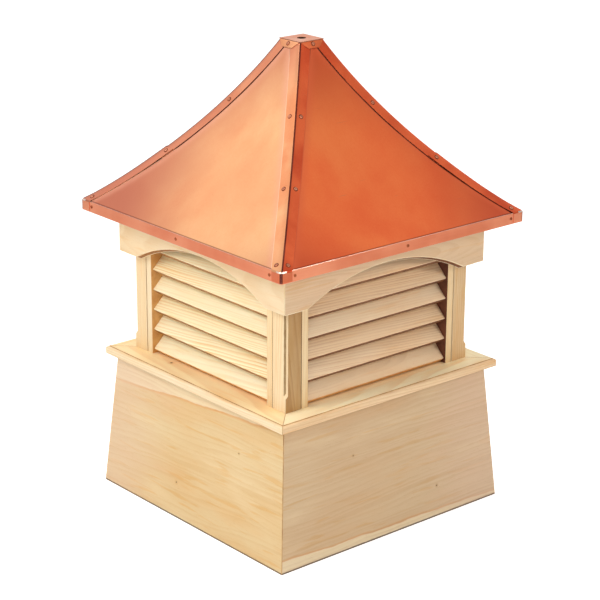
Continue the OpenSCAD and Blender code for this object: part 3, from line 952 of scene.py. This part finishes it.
def make_screws(materials, rusty_materials):
    pattern = screw(materials)
    rusty = screw(rusty_materials)
    hips, eaves, crowns = [], [], []
    for quarters in range(4):
        for z in SCREW_LEVELS:
            lap = SHEET * 1.2 if abs(z - SCREW_LEVELS[1]) < 0.001 else SHEET * 0.4 if z < 0.72 else 0.0
            out = roof_out(z, -lap)
            for hand in (-1, 1):
                inward = SCREW_IN + random.uniform(-0.0012, 0.0012)
                place = Vector((hand * (out - inward), -out, z))
                hips.append((quarter_turn(place, quarters), quarter_turn(roof_normal(z), quarters)))
        for along in (-0.3175, 0.0, 0.3175):
            place = Vector((along, -EAVE_OUT + 0.0008, 0.688 + random.uniform(-0.0008, 0.0008)))
            eaves.append((quarter_turn(place, quarters), quarter_turn((0, -1, 0), quarters)))
        z = 1.0757
        place = Vector((0.0, -roof_out(z, -SHEET), z))
        crowns.append((quarter_turn(place, quarters), quarter_turn(roof_normal(z), quarters)))
    for name, kind, seats in (("hip_screws", pattern, hips), ("eave_screws", rusty, eaves),
                              ("crown_screws", pattern, crowns)):
        heads = driven(kind, name, seats)
        fitted(heads, "roof_copper")
    bpy.data.objects.remove(pattern)
    bpy.data.objects.remove(rusty)


def make_roof():
    # Painted light and shade: one copper in two copies, peach for the lit back and left slopes and red for the shaded
    # front and right ones; the caps are split the same way.
    peach = ((0.93, 0.57, 0.295, 1), (0.87, 0.425, 0.215, 1))
    red = ((0.93, 0.255, 0.080, 1), (0.84, 0.180, 0.058, 1))
    dull_peach, dull_red = (0.56, 0.185, 0.110, 1), (0.58, 0.092, 0.036, 1)
    peach_lap = ((0.85, 0.43, 0.30, 1), (0.98, 0.72, 0.50, 1))
    red_lap = ((0.74, 0.150, 0.062, 1), (0.60, 0.110, 0.048, 1))
    sheet_finishes = [
        copper("copper sheet " + side, *tones, scale, shift, 0.34, 0.44, patch, far_tone, reach,
               lapped=peach_lap if tones is peach else red_lap)
        for side, tones, scale, shift, patch, far_tone, reach in (
            ("front", red, 4.6, (0.1, 0.6, 0.2), (-0.04, -0.26, 0.82), dull_red, (0.12, 0.37)),
            ("right", red, 4.4, (0.7, 0.2, 0.4), (0.28, 0.05, 0.82), dull_red, (0.12, 0.37)),
            ("back", peach, 4.0, (0.5, 0.3, 0.1), (0.05, 0.25, 0.84), dull_peach, (0.12, 0.41)),
            ("left", peach, 4.2, (0.3, 0.1, 0.0), (-0.25, -0.13, 0.840), dull_peach, (0.12, 0.41)),
        )
    ]
    lit_peach_cap = copper("copper peach cap painted light", (0.92, 0.50, 0.26, 1), (0.82, 0.34, 0.16, 1), 9.0, (0.2, 0.2, 0.7), 0.28, 0.40,
                       (-0.28, -0.24, 0.82), (0.62, 0.215, 0.13, 1), (0.22, 0.50))
    shaded_red_cap = copper("copper red cap painted shade", (0.84, 0.170, 0.060, 1), (0.62, 0.092, 0.034, 1), 9.0, (0.5, 0.1, 0.3), 0.35, 0.46)
    # Painted reflection and shade: dark copper for the strip beside each hip's fold, and for the rims and eased edges
    # of the sheets, caps and crown plate.
    painted_dark_line = copper("copper painted dark line", (0.25, 0.055, 0.038, 1), (0.16, 0.030, 0.022, 1), 30.0, (0.4, 0.1, 0.2), 0.40, 0.52)
    trim = copper("copper drip edge", (0.93, 0.375, 0.215, 1), (0.82, 0.27, 0.14, 1), 7.0, (0.6, 0.2, 0.1), 0.30, 0.42,
                  rolling=(6.0, 6.0, 300.0))
    # Painted highlight: pale copper for the drip edge's eased edges and for the caps' bends over it.
    drip_edge_highlight = copper("copper drip edge arris painted highlight", (0.93, 0.78, 0.70, 1), (0.84, 0.60, 0.49, 1), 12.0, (0.3, 0.1, 0.2), 0.26, 0.36)
    crown = copper("copper crown", (0.92, 0.50, 0.34, 1), (0.82, 0.34, 0.19, 1), 14.0, (0.1, 0.8, 0.3), 0.28, 0.40)
    # Painted light and shade: the crown's flaps take peach copper where lit and red copper where shaded.
    shaded_red_flap = copper("copper crown red flap painted shade", (0.85, 0.27, 0.11, 1), (0.70, 0.18, 0.070, 1), 9.0, (0.4, 0.3, 0.3), 0.46, 0.56)
    lit_peach_flap = copper("copper crown peach flap painted light", (0.95, 0.52, 0.30, 1), (0.86, 0.40, 0.20, 1), 9.0, (0.2, 0.5, 0.1), 0.34, 0.44)
    head = copper("copper screw head", (0.78, 0.34, 0.21, 1), (0.50, 0.19, 0.11, 1), 120.0, (0, 0, 0), 0.25, 0.36)
    # Painted shade: near-black copper for the rod hole's walls, for the shade inside it.
    hole = copper("copper rod hole painted shade", (0.030, 0.014, 0.010, 1), (0.016, 0.008, 0.006, 1), 90.0, (0, 0, 0), 0.6, 0.7)
    # Painted shade: dark copper for the screws' recesses and for the rings round their heads.
    recess = copper("copper screw recess painted shade", (0.34, 0.105, 0.048, 1), (0.20, 0.055, 0.028, 1), 160.0, (0, 0, 0), 0.5, 0.6)

    rusty_head = copper("copper rusty screw head", (0.62, 0.20, 0.085, 1), (0.44, 0.12, 0.05, 1), 120.0, (0, 0, 0), 0.45, 0.55)
    # Painted shadow: the dark ring round the rusty screws' heads.
    rusty_shadow_ring = copper("copper rusty screw painted shadow ring", (0.34, 0.10, 0.045, 1), (0.22, 0.06, 0.03, 1), 160.0, (0, 0, 0), 0.5, 0.6)

    pattern = roof_sheet()
    for k, side in enumerate(SIDES):
        sheet = turned(pattern, "roof_sheet_" + side, k)
        dressed(sheet, sheet_finishes[k], painted_dark_line)
        oil_canned(sheet, k)
        fitted(sheet, "roof_copper", "roof_panel_" + side)
        edge = eased_copy("eave_trim_" + side, "drip_edge_" + side, 0.00055)
        dressed(edge, trim, drip_edge_highlight)
        fitted(edge, "eave_copper", "eave_trim_" + side)
    bpy.data.objects.remove(pattern)

    tab = copper("copper tab", (0.90, 0.33, 0.18, 1), (0.78, 0.22, 0.105, 1), 16.0, (0.3, 0.5, 0.1), 0.30, 0.42)
    rim_painted_highlight = copper("copper rim painted highlight", (0.95, 0.62, 0.42, 1), (0.86, 0.46, 0.29, 1), 30.0, (0.1, 0.4, 0.2), 0.36, 0.48)
    pattern = hip_cap((lit_peach_cap, shaded_red_cap, painted_dark_line, drip_edge_highlight, trim))
    for k, corner in enumerate(CORNERS):
        cap = turned(pattern, "hip_cap_sheet_" + corner, k)
        by_side(cap)
        if corner == "front_left":
            cap.data.materials[4] = tab
        # Painted highlight: on the left hips the caps' rims away from the ridge are pale, for light caught on the cap's
        # edge; the rims on the front and back legs take the red cap finish.
        if corner in ("front_left", "back_left"):
            highlight_to = CROWN_Z if corner == "front_left" else LAP_Z
            cap.data.materials.append(rim_painted_highlight)
            set_finish(cap, 5, lambda face: face.material_index == 2 and EAVE_Z < face.center.z < highlight_to
                       and abs(abs(face.center.x) - abs(face.center.y)) > HIP_LEG * 0.75)
            set_finish(cap, 1, lambda face: face.material_index == 5 and abs(face.center.y) > abs(face.center.x))
        fitted(cap, "roof_copper", "hip_cap_" + corner)
    bpy.data.objects.remove(pattern)

    plate = eased_copy("crown_cap", "crown_plate", 0.00045)
    dressed(plate, crown, painted_dark_line, lit_peach_flap, shaded_red_flap, hole)
    # Painted shade: the hole's walls take the near-black finish.
    set_finish(plate, 4, lambda face: Vector(face.center).xy.length < 0.0112 and abs(face.normal.z) < 0.9)
    for index, sunny in ((2, True), (3, False)):
        set_finish(plate, index, lambda face: face.material_index == 0 and face.area > 0.00003
                   and 0.1 < face.normal.z < 0.95 and sunny == (face.normal.y > face.normal.x))
    fitted(plate, "roof_copper", "crown_cap")
    make_screws((head, recess), (rusty_head, rusty_shadow_ring))


# ---------------------------------------------------------------- studio

def make_studio():
    bpy.ops.mesh.primitive_plane_add(size=60, location=(0, 0, 0))
    floor = newly_added("floor")
    material, tree, shader = new_material("pale floor")
    tone = mixed(tree, clouds(tree, on_object(tree), 0.6, 2.0), (0.96, 0.96, 0.96, 1), (0.94, 0.94, 0.94, 1))
    put(tree, shader.inputs["Base Color"], tone)
    put(tree, shader.inputs["Emission Color"], tone)
    seen = tree.nodes.new("ShaderNodeLightPath").outputs["Is Camera Ray"]
    put(tree, shader.inputs["Emission Strength"], maths(tree, "MULTIPLY", seen, 0.62))
    shader.inputs["Roughness"].default_value = 0.9
    shader.inputs["Specular IOR Level"].default_value = 0.0
    floor.data.materials.append(material)

    world = bpy.data.worlds.new("studio")
    world.use_nodes = True
    tree = world.node_tree
    direction = split(tree, tree.nodes.new("ShaderNodeTexCoord").outputs["Generated"])
    behind = maths(tree, "MULTIPLY_ADD", direction["X"], 0.6, maths(tree, "MULTIPLY", direction["Y"], 0.8))
    level = eased(tree, maths(tree, "MULTIPLY_ADD", direction["Z"], 0.7, behind), -0.1, 0.8, 0.18, 0.92)
    background = tree.nodes["Background"]
    background.inputs["Color"].default_value = (1, 0.985, 0.97, 1)
    seen = tree.nodes.new("ShaderNodeLightPath").outputs["Is Camera Ray"]
    put(tree, background.inputs["Strength"], maths(tree, "MULTIPLY_ADD", seen, 1.2, level))
    bpy.context.scene.world = world

    target = Vector((0, 0, 0.55))
    for name, turn, lift, distance, width, height, energy, colour in (
            ("key", -94, 37, 3.6, 1.1, 1.4, 56, (1, 0.985, 0.955)),
            ("fill", 22, 29, 4.2, 0.9, 0.8, 33, (1, 0.96, 0.90)),
            ("front", -38, 12, 4.4, 1.6, 1.0, 23, (1, 0.97, 0.93)),
            ("high", -40, 50, 3.6, 1.0, 1.0, 16, (1, 0.97, 0.93)),
            ("roof glow", -142, 36, 2.0, 0.8, 0.8, 1.2, (1, 0.98, 0.95)),
    ):
        turn, lift = math.radians(turn), math.radians(lift)
        data = bpy.data.lights.new(name, "AREA")
        data.shape = "RECTANGLE"
        data.energy = energy
        data.size = width
        data.size_y = height
        data.color = colour
        lamp = bpy.data.objects.new(name, data)
        away = Vector((math.sin(turn) * math.cos(lift), -math.cos(turn) * math.cos(lift), math.sin(lift)))
        lamp.location = target + away * distance
        lamp.rotation_euler = away.to_track_quat("Z", "Y").to_euler()
        lamp.visible_camera = False
        bpy.context.scene.collection.objects.link(lamp)


def make_camera():
    turn, lift = math.radians(-40.57), math.radians(19.03)
    distance, roll = 4.535, math.radians(0.34)
    data = bpy.data.cameras.new("camera")
    data.lens = 117.84
    data.sensor_width = 36
    camera = bpy.data.objects.new("camera", data)
    back = Vector((math.sin(turn) * math.cos(lift), -math.cos(turn) * math.cos(lift), math.sin(lift)))
    right = Vector((math.cos(turn), math.sin(turn), 0))
    up = back.cross(right)
    tilted = right * math.cos(roll) + up * math.sin(roll)
    upright = back.cross(tilted)
    camera.location = Vector((0, 0, 0.4706)) + back * distance
    camera.rotation_euler = Matrix((tilted, upright, back)).transposed().to_euler()
    bpy.context.scene.collection.objects.link(camera)
    bpy.context.scene.camera = camera


bpy.ops.object.select_all(action="DESELECT")
random.seed(11)
bpy.context.scene.view_settings.view_transform = "Standard"
make_camera()
make_studio()
make_woodwork()
make_roof()
